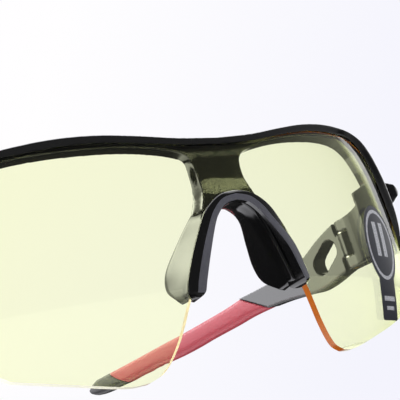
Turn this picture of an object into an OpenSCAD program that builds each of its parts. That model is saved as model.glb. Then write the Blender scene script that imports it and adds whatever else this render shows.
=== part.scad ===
// Half-rim shield glasses for cycling, as they rest on a table with the temples open.
// Lengths are in millimetres. X runs across the face, Y from the lens to the temple tips, Z up.
// The front is drawn upright about the lens's middle, with the lens's outer surface through the
// origin, and stand() leans it back until the lens and the temple tips touch the table.

/* [Lens] */
// Radius of the lens's outer surface, a part of a sphere
lens_r = 88.5; // [82:0.5:96]
// Thickness of the lens
lens_t = 2; // [1.6:0.1:2.4]
// Height of the lens from its lowest point to its top edge
lens_h = 53.4; // [50:0.2:57]
// Half of the width of the lens
lens_half_w = 57.6; // [55:0.2:60]

/* [Brow frame] */
// Thickness of the lip that covers the lens's top edge in front
lip_t = 1.6; // [1.2:0.1:2]
// Depth of the frame behind the lens
flange_d = 4; // [3:0.1:5]
// Half of the width of the centre post behind the lens
post_half_w = 5.6; // [4.6:0.1:6.6]

/* [Nose piece] */
// How far the nose rim's flat front stands before the lens's middle
rim_proud = 0.8; // [0.4:0.1:1.4]
// Thickness of the nose rim behind the lens
rim_back = 1.6; // [1.2:0.1:2]
// Thickness of the soft saddle
saddle_t = 2; // [1.6:0.1:2.4]
// Depth of the saddle's wings behind the nose rim
wing_d = 12; // [9:0.5:14]

/* [Hinges] */
// Distance from the middle of the glasses to each hinge axis
hinge_x = 62.5; // [61:0.1:64]
// Distance of the hinge axes behind the lens's front
hinge_y = 48.5; // [46:0.5:52]
// Height of each hinge
hinge_h = 14.2; // [13:0.1:16]
// Radius of the hinge knuckles
knuckle_r = 2.2; // [1.9:0.1:2.5]
// Inward lean of the hinge axes, which lets one folded temple pass under the other
lean = 4; // [3:0.5:6]
// Inward turn of the temples where they leave the hinges
toe_in = 8; // [5:0.5:10]
// Radius of the screw's shank
screw_r = 0.7; // [0.6:0.05:0.8]
// Radial play of the screw in the temple's knuckle
screw_play = 0.04; // [0.02:0.01:0.08]
// Thickness of each friction washer
washer_t = 0.3; // [0.2:0.05:0.5]

/* [Temples] */
// Length of a temple behind its hinge axis
temple_l = 132; // [122:1:138]
// Thickness of the temple arm
arm_t = 4.8; // [4.4:0.1:5.2]
// Thickness of the sleeve and the tip
grip_t = 5.2; // [4.8:0.1:5.8]
// Radius of the temple's inward bow, seen from above
bow_r = 620; // [500:10:900]
// Thickness of the tongue inside the sleeve and the tip
tongue_t = 2; // [1.6:0.1:2.4]
// Height of the tongue
tongue_h = 3.4; // [3:0.1:4]
// Width of the window in the temple's fork
slot_w = 5.6; // [4.6:0.1:6]
// Distance between the centres of the window's round ends
slot_l = 5.6; // [4:0.1:6.4]

/* [Hidden] */
$fn = 96;
// Room between parts that are pushed together
fit = 0.02;
// Factors that carry a change of the lens's size to every outline of the front
kx = lens_half_w / 57.6;
kz = lens_h / 53.4;
// How far the frame reaches behind the lens's outer surface
flange_back = lens_t + flange_d;
rim_rear = lens_t + rim_back;
// Planes before and behind every piece of the front
slab_front = -8;
slab_back = 46;
// Heights in the hinge, from its middle
hinge_z = 1.6 * kz;
lug_h = hinge_h * 0.24;
knuckle_h = hinge_h - 2 * lug_h - 2 * washer_t - 2 * fit;
// The arm's middle surface lies outside the hinge axis, so that its outer wall covers the knuckles
arm_u = 1.0;
arm_out = arm_u + arm_t / 2;
body_w = knuckle_r + 0.5;
screw_head_r = 1.4;
screw_head_h = 0.8;
nut_r = 1.3;
nut_h = 2.4;
// Temple outlines are drawn for a temple of 130 and stretched behind the window
kt = (temple_l - 30) / 100;

// A smooth line through a few points, with n steps between each two of them
function spline(p, n = 3) = concat(
    [for (i = [0:len(p) - 2]) for (k = [0:n - 1])
        let (a = p[max(i - 1, 0)], b = p[i], c = p[i + 1], d = p[min(i + 2, len(p) - 1)], t = k / n)
        b + (c - a) * t / 2 + (2 * a - 5 * b + 4 * c - d) * t * t / 2
            + (3 * b - a - 3 * c + d) * t * t * t / 2],
    [p[len(p) - 1]]);
function reversed(p) = [for (i = [len(p) - 1:-1:0]) p[i]];
// Closes an outline of the right half, from the middle plane round to it again, with its mirror image
function both_halves(p) = concat(p, [for (i = [len(p) - 2:-1:1]) [-p[i].x, p[i].y]]);
function front(p) = [for (q = p) [q.x * kx, q.y * kz]];
function stretched(p) = [for (q = p) [q.x < 30 ? q.x : 30 + (q.x - 30) * kt, q.y]];

// Outlines of the right half of the front, as x and z
brow_top = spline(front([[0, 17.2], [9, 17.8], [18, 19.5], [26, 21.1], [34, 22.1], [42, 22.4],
    [48, 21.9], [52.5, 20.4], [55.1, 17.8], [56.3, 14], [57.2, 10]]));
brow_side = spline(front([[57.2, 10], [57.7, 5], [58, 0], [58.1, -5], [57.9, -8.5]]));
lens_top = spline(front([[0, 16.2], [9, 16.8], [18, 18.5], [26, 20.1], [34, 21.1], [42, 21.2],
    [47.3, 20.7], [51.4, 19.3], [54, 17], [55.4, 13.5], [56.4, 9.5]]));
lens_side = spline(front([[56.4, 9.5], [57.1, 5], [57.4, 0], [57.6, -6], [57.4, -13],
    [56, -18.5], [53.6, -22.6], [49.8, -25.8]]));
lens_low = spline(front([[49.8, -25.8], [43.4, -27.9], [37.7, -29.6], [31.8, -31.3], [27.6, -32.2],
    [24.3, -32.2], [21.6, -31], [19.6, -28.8], [17.7, -25.6], [16.2, -22.2], [14.5, -18],
    [12.4, -14.2], [9.9, -9.4], [7, -3.6], [4.8, 0.6], [2.6, 2.6], [0, 3.2]]));
lip_low = spline(front([[0, 15.5], [9, 16.1], [18, 17.7], [26, 19.2], [34, 20.1], [41, 20.3],
    [46, 19.9], [49.6, 18.4], [51.6, 15.6], [52.7, 12.5], [53.4, 9.5], [54.2, 5], [55.3, 0],
    [56.3, -5], [57.9, -8.5]]));
eye_edge = spline(concat(
    front([[57.9, -8.5], [57, -8.3], [56.5, -5], [56.4, 0], [56.4, 5], [56, 10.4], [54.4, 15], [51.4, 18.2],
        [46.5, 19.8], [40, 20], [33, 19.4], [27, 18.7], [21.7, 18], [16.6, 17.1], [12, 16]]),
    [[post_half_w + 3.2, 15 * kz], [post_half_w + 1, 13.9 * kz], [post_half_w + 0.1, 11.2 * kz],
        [post_half_w + 0.1, 7.6 * kz], [post_half_w + 0.6, 4.4 * kz], [post_half_w + 1.9, 0.8 * kz]]));
rim_outer = spline(front([[0, 4.1], [3.3, 3.4], [5.9, 1.1], [8.2, -4.2], [11, -10.4], [13.3, -15.4],
    [13.9, -17], [13.6, -17.9]]));
rim_inner = spline(front([[12.8, -18.2], [11.9, -17.4], [11.3, -15.6], [9, -9.4], [6.4, -3.2],
    [4.9, -0.6], [2.8, 1.4], [0, 2.1]]));

// One solid between the frame's front and back planes, cut to an outline of the front
module slab(outline) {
    translate([0, slab_back, 0])
        rotate([90, 0, 0])
            linear_extrude(slab_back - slab_front)
                polygon(outline);
}

// The lens's sphere, grown by d
module ball(d) {
    translate([0, lens_r, 0])
        sphere(lens_r + d, $fn = 200);
}

// The layer between two depths measured from the lens's outer surface
module layer(outer, inner) {
    difference() {
        ball(outer);
        ball(inner);
    }
}

module lens_outline() {
    slab(both_halves(concat(lens_top, lens_side, lens_low)));
}

// Everything below the rim's outer line, which is where the centre post ends
module below_rim() {
    outer = [for (p = rim_outer) p + [0, fit]];
    slab(both_halves(concat(outer, [[0, rim_outer[len(rim_outer) - 1].y]])));
}

// The space of the centre post, which the saddle is trimmed to
module post_room() {
    intersection() {
        ball(-lens_t);
        difference() {
            slab(both_halves(concat(rim_outer, [[post_half_w + 20, 30 * kz], [0, 30 * kz]])));
            ball(-flange_back - 0.05);
        }
    }
}

// Places what is drawn about a hinge axis at the right hinge or, mirrored, at the left one
module at_hinge(side) {
    mirror([side < 0 ? 1 : 0, 0, 0])
        translate([hinge_x * kx, hinge_y, hinge_z])
            rotate([0, -lean, 0])
                rotate([0, 0, toe_in])
                    children();
}

// A flat outline of w and z, drawn out across the temple from u0 to u1
module side_plate(outline, u0, u1) {
    translate([u0, 0, 0])
        rotate([90, 0, 90])
            linear_extrude(u1 - u0)
                polygon(outline);
}

module post(r, z0, z1) {
    translate([0, 0, z0])
        cylinder(r = r, h = z1 - z0);
}

// Block that joins the frame to the hinge, behind the end of the lens
endpiece_back = [[-13, -28],
    each spline([[-15, -20.5], [-10.6, -18.5], [-6.4, -14], [-3.4, -8], [-knuckle_r, -body_w]])];

module endpiece() {
    plan = concat(
        spline([[arm_out, -body_w], [2, -9], [-1.4, -16], [-5.2, -22], [-9.4, -28]]), endpiece_back);
    profile = concat(
        spline([[-body_w, hinge_h / 2], [-10, hinge_h / 2 + 0.3], [-17, hinge_h / 2 + 0.8],
            [-23, hinge_h / 2 + 1.8], [-32, hinge_h / 2 + 4]]),
        spline([[-32, -hinge_h / 2 - 3.4], [-23, -hinge_h / 2 - 2.4], [-17, -hinge_h / 2 - 0.8],
            [-10, -hinge_h / 2 - 0.1], [-body_w, -hinge_h / 2]]));
    intersection() {
        translate([0, 0, -hinge_h])
            linear_extrude(2 * hinge_h)
                polygon(plan);
        side_plate(profile, -30, 20);
    }
}

// Rounded shoulder along the top of the endpiece, which stands out beside the frame's corner
module shoulder() {
    plan = concat(
        spline([[arm_out, -body_w], [3.3, -9], [2.9, -16], [2.3, -20.2], [1.3, -22.1], [-0.4, -23.4],
            [-4.6, -25.2], [-9.4, -28]]), endpiece_back);
    section = concat(
        spline([[1, 7], [4, 8.6], [7.5, 9.8], [10.4, 9.9], [12.2, 9.2], [13.5, 8.4], [14.2, 7.5],
            [14.3, 6.6], [13.7, 5.6], [12.5, 4.9], [10.5, 4.6]]),
        [[1, 4.6]]);
    profile = concat(
        spline([[-body_w, hinge_h / 2], [-10, hinge_h / 2 + 0.5], [-16, hinge_h / 2 + 1.5],
            [-22, hinge_h / 2 + 3.3], [-30, hinge_h / 2 + 4.2]]),
        [[-30, 0], [-body_w, 0]]);
    intersection() {
        linear_extrude(2 * hinge_h)
            polygon(plan);
        rotate([0, 0, -37])
            translate([0, 40, hinge_h / 2 - 7.1])
                rotate([90, 0, 0])
                    linear_extrude(60)
                        polygon(section);
        side_plate(profile, -30, 20);
    }
}

// One knuckle with its web to the endpiece and the thin outer wall over it
module frame_lug(z0) {
    post(knuckle_r, z0, z0 + lug_h);
    translate([-knuckle_r, -body_w - 0.5, z0])
        cube([2 * knuckle_r, body_w + 0.5, lug_h]);
}

module frame_end() {
    difference() {
        union() {
            endpiece();
            frame_lug(-hinge_h / 2);
            frame_lug(hinge_h / 2 - lug_h);
            translate([knuckle_r - 0.4, -body_w - 0.5, -hinge_h / 2])
                cube([arm_out - knuckle_r + 0.4, body_w + 0.45, hinge_h]);
        }
        post(knuckle_r + 0.25, -hinge_h / 2 + lug_h, hinge_h / 2 - lug_h);
        post(screw_r + screw_play, -hinge_h, hinge_h);
        post(screw_head_r + fit, hinge_h / 2 - screw_head_h, hinge_h);
        post(nut_r, -hinge_h, -hinge_h / 2 + nut_h);
    }
}

module brow_frame() {
    color("#15161a")
        stand()
            difference() {
                union() {
                    intersection() {
                        layer(-lens_t - fit, -flange_back);
                        slab(both_halves(concat(brow_top, brow_side, eye_edge, [[0, 0.8 * kz]])));
                    }
                    intersection() {
                        layer(lip_t, fit);
                        slab(both_halves(concat(brow_top, brow_side, reversed(lip_low))));
                    }
                    intersection() {
                        layer(lip_t, -flange_back);
                        slab(both_halves(concat(brow_top, reversed(lens_top))));
                    }
                    for (side = [-1, 1]) {
                        intersection() {
                            at_hinge(side)
                                frame_end();
                            ball(lip_t);
                        }
                        at_hinge(side)
                            shoulder();
                    }
                }
                lens_room();
                below_rim();
            }
}

// The space that the lens fills, and the view through it before the lens
module lens_room() {
    grown = 1 + fit / lens_half_w;
    outline = both_halves(concat(lens_top, lens_side, lens_low));
    intersection() {
        layer(fit, -lens_t - fit);
        slab([for (p = outline) p * grown]);
    }
    intersection() {
        layer(lip_t + 4, fit / 2);
        slab(both_halves(concat(lip_low, [[lens_half_w, -60], [0, -60]])));
    }
}

module shield_lens() {
    color("#e9f2b4")
        stand()
            intersection() {
                layer(0, -lens_t);
                lens_outline();
            }
}

// Hard rim that clips round the lens's notch, with a groove for the lens
module nose_rim() {
    color("#101114")
        stand()
            difference() {
                intersection() {
                    slab(both_halves(concat(rim_outer, rim_inner)));
                    layer(rim_proud + 4, -rim_rear);
                    translate([-20, -rim_proud, -20])
                        cube([40, 20, 30]);
                }
                intersection() {
                    layer(fit, -lens_t - fit);
                    lens_outline();
                }
            }
}

// Middle line of the saddle's sheet: its front edge on the rim, and its rear edge
saddle_front = front([[0, 3], [3, 2.3], [5.3, 0.1], [7.3, -3.9], [9.6, -8.9], [11.5, -13.2],
    [12.5, -15.8]]);
saddle_rear = [[0, 0.46, 2.2], [4, 0.44, 1.4], [6.9, 0.5, 0.4], [9.4, 0.79, -0.4], [11.4, 0.97, 0.4],
    [12.4, 0.8, 0.8], [12.9, 0.32, -0.1]];
function rim_rear_y(p) = lens_r - sqrt(pow(lens_r - rim_rear, 2) - p.x * p.x - p.y * p.y);

module saddle_ball(p) {
    translate(p)
        sphere(d = saddle_t, $fn = 20);
}

// One strip of the saddle's sheet, between two stations of its edges
module saddle_strip(i) {
    hull()
        for (k = [i, i + 1]) {
            f = saddle_front[k];
            r = saddle_rear[k];
            y = rim_rear_y(f);
            saddle_ball([f.x, y + saddle_t * 0.3, f.y]);
            saddle_ball([r.x * kx, y + 1 + wing_d * r.y, f.y + r.z]);
        }
}

module nose_saddle() {
    color("#1b1b1f")
        stand()
            difference() {
                intersection() {
                    union()
                        for (m = [0, 1])
                            mirror([m, 0, 0])
                                for (i = [0:len(saddle_front) - 2])
                                    saddle_strip(i);
                    ball(-rim_rear - fit);
                }
                post_room();
            }
}

// Thin film on the lens's outer surface: an oval with a square tab below it
label_edge = front(concat(
    [for (a = [-57:6:237]) [44.7 + 7 * cos(a), -8.4 + 9.7 * sin(a)]],
    [[40.9, -26], [41.3, -26.4], [48.1, -26.4], [48.5, -26]]));
module lens_label() {
    color("#2b2d36")
        stand()
            intersection() {
                layer(0.12, 0);
                slab(label_edge);
            }
}

// Outlines of the temple as w and z about the hinge axis
arm_top = spline(stretched([[body_w, hinge_h / 2], [6.5, 6.2], [12, 4.5], [18, 2.2], [25, 0.6],
    [36, -0.1], [50, -0.4]]));
arm_low = spline(stretched([[38.5, -7], [31, -7.4], [22, -8.4], [16, -9.1], [10, -8.5], [5.5, -7.6],
    [body_w, -hinge_h / 2]]));
sleeve_top = spline(stretched([[50, -0.4], [58, -1.3], [68, -2], [77, -2.6], [91, -3.4],
    [103, -4.2], [119.2, -5.2]]));
sleeve_low = spline(stretched([[111.2, -11.1], [96, -9.8], [85, -9.6], [76, -9.1], [68, -8.4],
    [56, -7.7], [48, -7.1], [38.5, -7]]));
tip_end = spline(stretched([[119.2, -5.2], [124.6, -5.6], [128.4, -6.6], [130, -8.4], [128.8, -10.4],
    [125, -11.2], [111.2, -11.1]]));
tongue_line = stretched([[30, -3.8], [50, -3.9], [70, -5.2], [90, -6.4], [108, -7.6], [125, -8.4]]);

// The temple's bowed wall of thickness t
module bowed(t) {
    translate([arm_u - bow_r, 0, -40])
        difference() {
            cylinder(r = bow_r + t / 2, h = 80, $fn = 720);
            translate([0, 0, -1])
                cylinder(r = bow_r - t / 2, h = 82, $fn = 720);
        }
}

module bowed_plate(outline, t) {
    intersection() {
        bowed(t);
        side_plate(outline, -40, 10);
    }
}

module tongue(extra = 0) {
    h = tongue_h / 2 + extra;
    bowed_plate(concat(
        [for (p = tongue_line) p + [extra, h]],
        reversed([for (p = tongue_line) p + [extra, -h]])), tongue_t + 2 * extra);
}

// Window in the arm's fork, a slot with round ends that runs down and back
module fork_window() {
    translate([-20, 9.3, -0.9])
        rotate([-30, 0, 0])
            rotate([90, 0, 90])
                linear_extrude(40)
                    union() {
                        translate([-slot_l / 2, -slot_w / 2])
                            square([slot_l, slot_w]);
                        for (y = [-slot_l / 2, slot_l / 2])
                            translate([y, 0])
                                circle(slot_w / 2);
                    }
}

module temple_arm(side) {
    color("#1a1b20")
        stand()
            at_hinge(side)
                difference() {
                    union() {
                        bowed_plate(concat(arm_top, arm_low), arm_t);
                        tongue();
                        post(knuckle_r, -knuckle_h / 2, knuckle_h / 2);
                        translate([-knuckle_r + 0.8, 0, -knuckle_h / 2])
                            cube([2 * knuckle_r - 0.8, body_w + 0.5, knuckle_h]);
                        difference() {
                            translate([knuckle_r - 0.6, 0.05, -hinge_h / 2])
                                cube([arm_out - knuckle_r + 0.6, body_w + 0.5, hinge_h]);
                            post(knuckle_r + 0.2, -hinge_h, -knuckle_h / 2);
                            post(knuckle_r + 0.2, knuckle_h / 2, hinge_h);
                        }
                    }
                    post(screw_r + screw_play, -hinge_h, hinge_h);
                    fork_window();
                }
}

module temple_sleeve(side) {
    color("#c2404c")
        stand()
            at_hinge(side)
                difference() {
                    bowed_plate(concat(sleeve_top, sleeve_low), grip_t);
                    tongue(fit);
                }
}

module temple_tip(side) {
    color("#17181b")
        stand()
            at_hinge(side)
                difference() {
                    bowed_plate(tip_end, grip_t);
                    tongue(fit);
                }
}

module hinge_screw(side) {
    color("silver")
        stand()
            at_hinge(side)
                difference() {
                    union() {
                        post(screw_r, -hinge_h / 2 + 0.2, hinge_h / 2 - screw_head_h);
                        post(screw_head_r, hinge_h / 2 - screw_head_h, hinge_h / 2 - 0.05);
                    }
                    translate([-screw_head_r - 1, -0.2, hinge_h / 2 - 0.4])
                        cube([2 * screw_head_r + 2, 0.4, 1]);
                }
}

module hinge_nut(side) {
    color("goldenrod")
        stand()
            at_hinge(side)
                difference() {
                    post(nut_r, -hinge_h / 2 + 0.05, -hinge_h / 2 + nut_h);
                    post(screw_r, -hinge_h, 0);
                }
}

module hinge_washers(side) {
    color("gainsboro")
        stand()
            at_hinge(side)
                for (z = [-knuckle_h / 2 - fit - washer_t, knuckle_h / 2 + fit])
                    difference() {
                        post(knuckle_r - 0.1, z, z + washer_t);
                        post(screw_r + screw_play, -hinge_h, hinge_h);
                    }
}

// A point of a temple, from its outline's w and z, on the wall's face that lies t outside the middle
function temple_point(p, t) =
    let (u = arm_u - bow_r + sqrt(pow(bow_r + t, 2) - p.x * p.x),
        x = u * cos(toe_in) - p.x * sin(toe_in), y = u * sin(toe_in) + p.x * cos(toe_in))
    [hinge_x * kx + x * cos(lean) - p.y * sin(lean), hinge_y + y, hinge_z + x * sin(lean) + p.y * cos(lean)];
// Corners of the outlines that touch the table, under the lens and under the temple tips
lens_foot = lens_low[13];
lens_foot_y = lens_r - sqrt(pow(lens_r - lens_t, 2) - lens_foot.x * lens_foot.x - lens_foot.y * lens_foot.y);
tip_foot = temple_point(tip_end[14], -grip_t / 2);
rest_lean = atan2(tip_foot.z - lens_foot.y, tip_foot.y - lens_foot_y);
lift = lens_foot_y * sin(rest_lean) - lens_foot.y * cos(rest_lean);
// Front and back ends of the whole, once it leans: the rim's lowest corner and the end of the tips
rim_foot = rim_inner[0];
front_end = -rim_proud * cos(rest_lean) + rim_foot.y * sin(rest_lean);
tip_back = temple_point(tip_end[9], grip_t / 2);
back_end = tip_back.y * cos(rest_lean) + tip_back.z * sin(rest_lean);

// Leans the upright glasses back onto the table and centres them over the origin
module stand() {
    translate([0, -(front_end + back_end) / 2, lift])
        rotate([-rest_lean, 0, 0])
            children();
}

brow_frame();
shield_lens();
nose_rim();
nose_saddle();
lens_label();
temple_arm(-1);  // left_temple_arm
temple_sleeve(-1);  // left_temple_sleeve
temple_tip(-1);  // left_temple_tip
hinge_screw(-1);  // left_hinge_screw
hinge_nut(-1);  // left_hinge_nut
hinge_washers(-1);  // left_hinge_washers
temple_arm(1);  // right_temple_arm
temple_sleeve(1);  // right_temple_sleeve
temple_tip(1);  // right_temple_tip
hinge_screw(1);  // right_hinge_screw
hinge_nut(1);  // right_hinge_nut
hinge_washers(1);  // right_hinge_washers
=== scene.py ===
import math

import bmesh
import bpy
import numpy as np
from mathutils import Matrix, Vector
from mathutils.geometry import delaunay_2d_cdt


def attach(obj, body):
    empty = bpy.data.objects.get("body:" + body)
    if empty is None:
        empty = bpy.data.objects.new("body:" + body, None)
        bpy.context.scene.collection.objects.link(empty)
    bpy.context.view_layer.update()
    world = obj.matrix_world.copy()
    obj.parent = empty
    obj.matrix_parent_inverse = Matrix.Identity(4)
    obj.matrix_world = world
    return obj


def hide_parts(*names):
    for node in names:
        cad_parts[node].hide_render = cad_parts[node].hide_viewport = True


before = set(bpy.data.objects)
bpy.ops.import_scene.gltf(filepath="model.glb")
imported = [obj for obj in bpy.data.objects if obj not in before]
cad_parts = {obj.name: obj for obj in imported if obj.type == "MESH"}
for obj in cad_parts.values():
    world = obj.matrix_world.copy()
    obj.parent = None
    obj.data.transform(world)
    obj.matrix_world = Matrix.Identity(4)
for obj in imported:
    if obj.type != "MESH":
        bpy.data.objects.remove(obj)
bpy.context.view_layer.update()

# Brow frame: one injection-moulded nylon part, black and polished in the mould. A lip lies before
# the lens's top edge, a flange and the centre post lie behind it, and each end runs back into a
# hinge block. All its edges are rounded as the mould leaves them, by about 0.4 mm.
MM = 0.001
LENS_RADIUS = 88.5
LENS_THICKNESS = 2.0
FRAME_DEPTH = 6.0
# How the upright front leans, moves along and is lifted to rest on the table, as in the CAD source
REST_LEAN = math.radians(7.267775)
REST_SHIFT = -86.055261
REST_LIFT = 33.662278


def linear(hex_colour):
    """An sRGB colour as the linear values that Blender works with."""
    parts = [int(hex_colour[i:i + 2], 16) / 255 for i in (1, 3, 5)]
    return [c / 12.92 if c <= 0.04045 else ((c + 0.055) / 1.055) ** 2.4 for c in parts] + [1.0]


def add(tree, kind, settings=None, **links):
    """Adds one node: settings are its properties or sockets, links feed its sockets."""
    node = tree.nodes.new(kind)
    for name, value in (settings or {}).items():
        if name in node.inputs:
            node.inputs[name].default_value = value
        else:
            setattr(node, name, value)
    for name, source in links.items():
        key = int(name[1:]) if name[1:].isdigit() else name.replace("_", " ")
        tree.links.new(source, node.inputs[key])
    return node


def material(name):
    """A new empty material with its node tree and its output node."""
    made = bpy.data.materials.new(name)
    made.use_nodes = True
    tree = made.node_tree
    tree.nodes.clear()
    return made, tree, add(tree, "ShaderNodeOutputMaterial")


def keep(piece, body, slot_name, finishes, *stands_for):
    """Gives a finished piece its materials and body, and hides the CAD nodes that it stands for. slot_name
    is not used.
    """
    piece.data.materials.clear()
    for finish in finishes:
        piece.data.materials.append(finish)
    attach(piece, body)
    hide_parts(*stands_for)


def applied(piece):
    """Turns the piece's modifiers into plain mesh and shades it smooth."""
    bpy.context.view_layer.update()
    graph = bpy.context.evaluated_depsgraph_get()
    mesh = bpy.data.meshes.new_from_object(piece.evaluated_get(graph))
    piece.modifiers.clear()
    piece.data = mesh
    mesh.name = piece.name
    mesh.shade_smooth()
    return piece


def moulded(name, node, grain, rounds, thin=1.0):
    """A copy of a CAD node with its edges rounded as a mould leaves them."""
    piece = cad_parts[node].copy()
    piece.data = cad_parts[node].data.copy()
    piece.name = piece.data.name = name
    for key in list(piece.keys()):
        del piece[key]
    piece.parent = None
    bpy.context.scene.collection.objects.link(piece)
    skin = piece.modifiers.new("skin", "REMESH")
    skin.mode, skin.voxel_size = "VOXEL", grain * MM
    soft = piece.modifiers.new("soft", "SMOOTH")
    soft.factor, soft.iterations = 0.5, rounds
    if thin < 1:
        fewer = piece.modifiers.new("fewer", "DECIMATE")
        fewer.ratio = thin
    return applied(piece)


def spline(points, steps):
    """A smooth line through the points, the one that the CAD source draws."""
    p = [np.array(q, float) for q in points]
    line = []
    for i in range(len(p) - 1):
        a, b, c, d = p[max(i - 1, 0)], p[i], p[i + 1], p[min(i + 2, len(p) - 1)]
        for k in range(steps):
            t = k / steps
            line.append(b + (c - a) * t / 2 + (2 * a - 5 * b + 4 * c - d) * t * t / 2
                        + (3 * b - a - 3 * c + d) * t ** 3 / 2)
    return np.array(line + [p[-1]])


def stand(points):
    """Leans points of the upright front, in mm, back to rest on the table, in metres."""
    p = np.array(points, float).reshape(-1, 3)
    c, s = math.cos(REST_LEAN), math.sin(REST_LEAN)
    return np.stack([p[:, 0], p[:, 1] * c + p[:, 2] * s + REST_SHIFT,
                     -p[:, 1] * s + p[:, 2] * c + REST_LIFT], 1) * MM


def upright(piece):
    """The places of a piece's points before stand() leans them, in mm."""
    flat = np.empty(len(piece.data.vertices) * 3, np.float32)
    piece.data.vertices.foreach_get("co", flat)
    p = flat.reshape(-1, 3).astype(float) / MM - (0, REST_SHIFT, REST_LIFT)
    c, s = math.cos(REST_LEAN), math.sin(REST_LEAN)
    return np.stack([p[:, 0], p[:, 1] * c - p[:, 2] * s, p[:, 1] * s + p[:, 2] * c], 1)


def ease(t):
    """A soft step from 0 to 1."""
    t = np.clip(t, 0, 1)
    return t * t * (3 - 2 * t)


def inside(outline, places):
    """Which flat places lie inside a closed outline."""
    held = np.zeros(len(places), bool)
    for p, q in zip(outline, np.roll(outline, -1, 0)):
        level = (p[1] > places[:, 1]) != (q[1] > places[:, 1])
        rise = q[1] - p[1] if q[1] != p[1] else 1.0
        held ^= level & (places[:, 0] < p[0] + (places[:, 1] - p[1]) * (q[0] - p[0]) / rise)
    return held


nylon, tree, out = material("gloss_black_moulded_nylon")
place = add(tree, "ShaderNodeTexCoord").outputs["Object"]
# Slow sink marks of the moulding, 9 mm across, and the fine handling haze, 0.4 mm, change the gloss
sink = add(tree, "ShaderNodeTexNoise", {"Scale": 110.0, "Detail": 2.0}, Vector=place)
haze = add(tree, "ShaderNodeTexNoise", {"Scale": 2500.0, "Detail": 3.0}, Vector=place)
shine = add(tree, "ShaderNodeMapRange",
            {"From Min": 0.3, "From Max": 0.7, "To Min": 0.07, "To Max": 0.13},
            Value=haze.outputs["Fac"])
black = add(tree, "ShaderNodeMix", {"data_type": "RGBA", "A": linear("#060607"), "B": linear("#0b0b0d")},
            Factor=sink.outputs["Fac"])
swell = add(tree, "ShaderNodeBump", {"Strength": 0.25, "Distance": 0.00006}, Height=sink.outputs["Fac"])
body = add(tree, "ShaderNodeBsdfPrincipled", {"IOR": 1.53}, Base_Color=black.outputs["Result"],
           Roughness=shine.outputs["Result"], Normal=swell.outputs["Normal"])
tree.links.new(body.outputs["BSDF"], out.inputs["Surface"])

# The notch's edge as x and z, from its right foot to its middle
NOTCH_HALF = spline([(24.3, -32.2), (21.6, -31), (19.6, -28.8), (17.7, -25.6), (16.2, -22.2), (14.5, -18),
                     (12.4, -14.2), (9.9, -9.4), (7, -3.6), (4.8, 0.6), (2.6, 2.6), (0, 3.2)], 6)
# The right half of the lens's outline, from the middle of its top round to the middle of the notch
lens_half = np.concatenate([
    spline([(0, 16.2), (9, 16.8), (18, 18.5), (26, 20.1), (34, 21.1), (42, 21.2), (47.3, 20.7),
            (51.4, 19.3), (54, 17), (55.4, 13.5), (56.4, 9.5)], 6)[:-1],
    spline([(56.4, 9.5), (57.1, 5), (57.4, 0), (57.6, -6), (57.4, -13), (56, -18.5), (53.6, -22.6),
            (49.8, -25.8)], 6)[:-1],
    spline([(49.8, -25.8), (43.4, -27.9), (37.7, -29.6), (31.8, -31.3), (27.6, -32.2),
            (24.3, -32.2)], 6)[:-1],
    NOTCH_HALF])
lens_line = np.concatenate([lens_half, lens_half[-2:0:-1] * (-1, 1)])

BROW_GRAIN, BROW_ROUNDS, BROW_FACES_KEPT = 0.24, 12, 0.56
brow = moulded("brow", "brow_frame", BROW_GRAIN, BROW_ROUNDS, BROW_FACES_KEPT)
ball_centre = np.array([0, LENS_RADIUS, 0])
skin = upright(brow)
depth = LENS_RADIUS - np.linalg.norm(skin - ball_centre, axis=1)
across, high = skin[:, 0].copy(), skin[:, 2].copy()
covered = inside(lens_line, skin[:, [0, 2]])
# The slot keeps clear of the lens by 0.06 mm on both sides
SLOT_PLAY = 0.06
lip_side = covered & (depth > -SLOT_PLAY) & (depth < LENS_THICKNESS / 2)
back_side = covered & (depth >= LENS_THICKNESS / 2)
# The post's face lies 1.2 mm further behind the lens, with a ramp down to the nose piece, and the
# post is wider at its back by the mould's draft
POST_RECESS, RECESS_HALF_WIDTH, SIDE_FADE = 1.2, 9.5, 2
RAMP_FOOT, RAMP_HEIGHT = 3, 6.5
RECESS_TOP, RECESS_FADE = 12.5, 3.5
POST_DRAFT, DRAFT_HALF_WIDTH = 0.15, 10
DRAFT_TOP, DRAFT_FADE = 10, 5
behind = LENS_THICKNESS + SLOT_PLAY
ramp = ease((high - RAMP_FOOT) / RAMP_HEIGHT) * (1 - ease((high - RECESS_TOP) / RECESS_FADE))
recess = POST_RECESS * ramp * ease((RECESS_HALF_WIDTH - np.abs(across)) / SIDE_FADE)
room = FRAME_DEPTH - behind
# The lip thins out over its last 2.4 mm, down to 0.25 mm at its edge, its top edge is rounded by
# 1.2 mm, and it is a little narrower than the solid's, most of all round the corner
LIP_TAPER, LIP_EDGE_SHARE, LIP_TOP_ROUND = 2.4, 0.16, 1.2
LIP_NARROWER, NARROW_REACH, NARROW_ABOVE, NARROW_FADE = 0.35, 3, 6, 6
CORNER_NARROWER, CORNER_FROM, CORNER_RUN, CORNER_LEAN = 1.0, 41, 6, 0.6
LIP_HALF = spline([(0, 15.5), (9, 16.1), (18, 17.7), (26, 19.2), (34, 20.1), (41, 20.3), (46, 19.9),
                   (49.6, 18.4), (51.6, 15.6), (52.7, 12.5), (53.4, 9.5), (54.2, 5), (55.3, 0), (56.3, -5),
                   (57.9, -8.5)], 4)
TOP_HALF = spline([(0, 17.2), (9, 17.8), (18, 19.5), (26, 21.1), (34, 22.1), (42, 22.4), (48, 21.9),
                   (52.5, 20.4), (55.1, 17.8), (56.3, 14), (57.2, 10), (57.7, 5), (58, 0), (58.1, -5)], 4)
LIP_END = -10
aside = np.stack([np.abs(across), high], 1)
near = (depth < 0) & (high > LIP_END)


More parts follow.
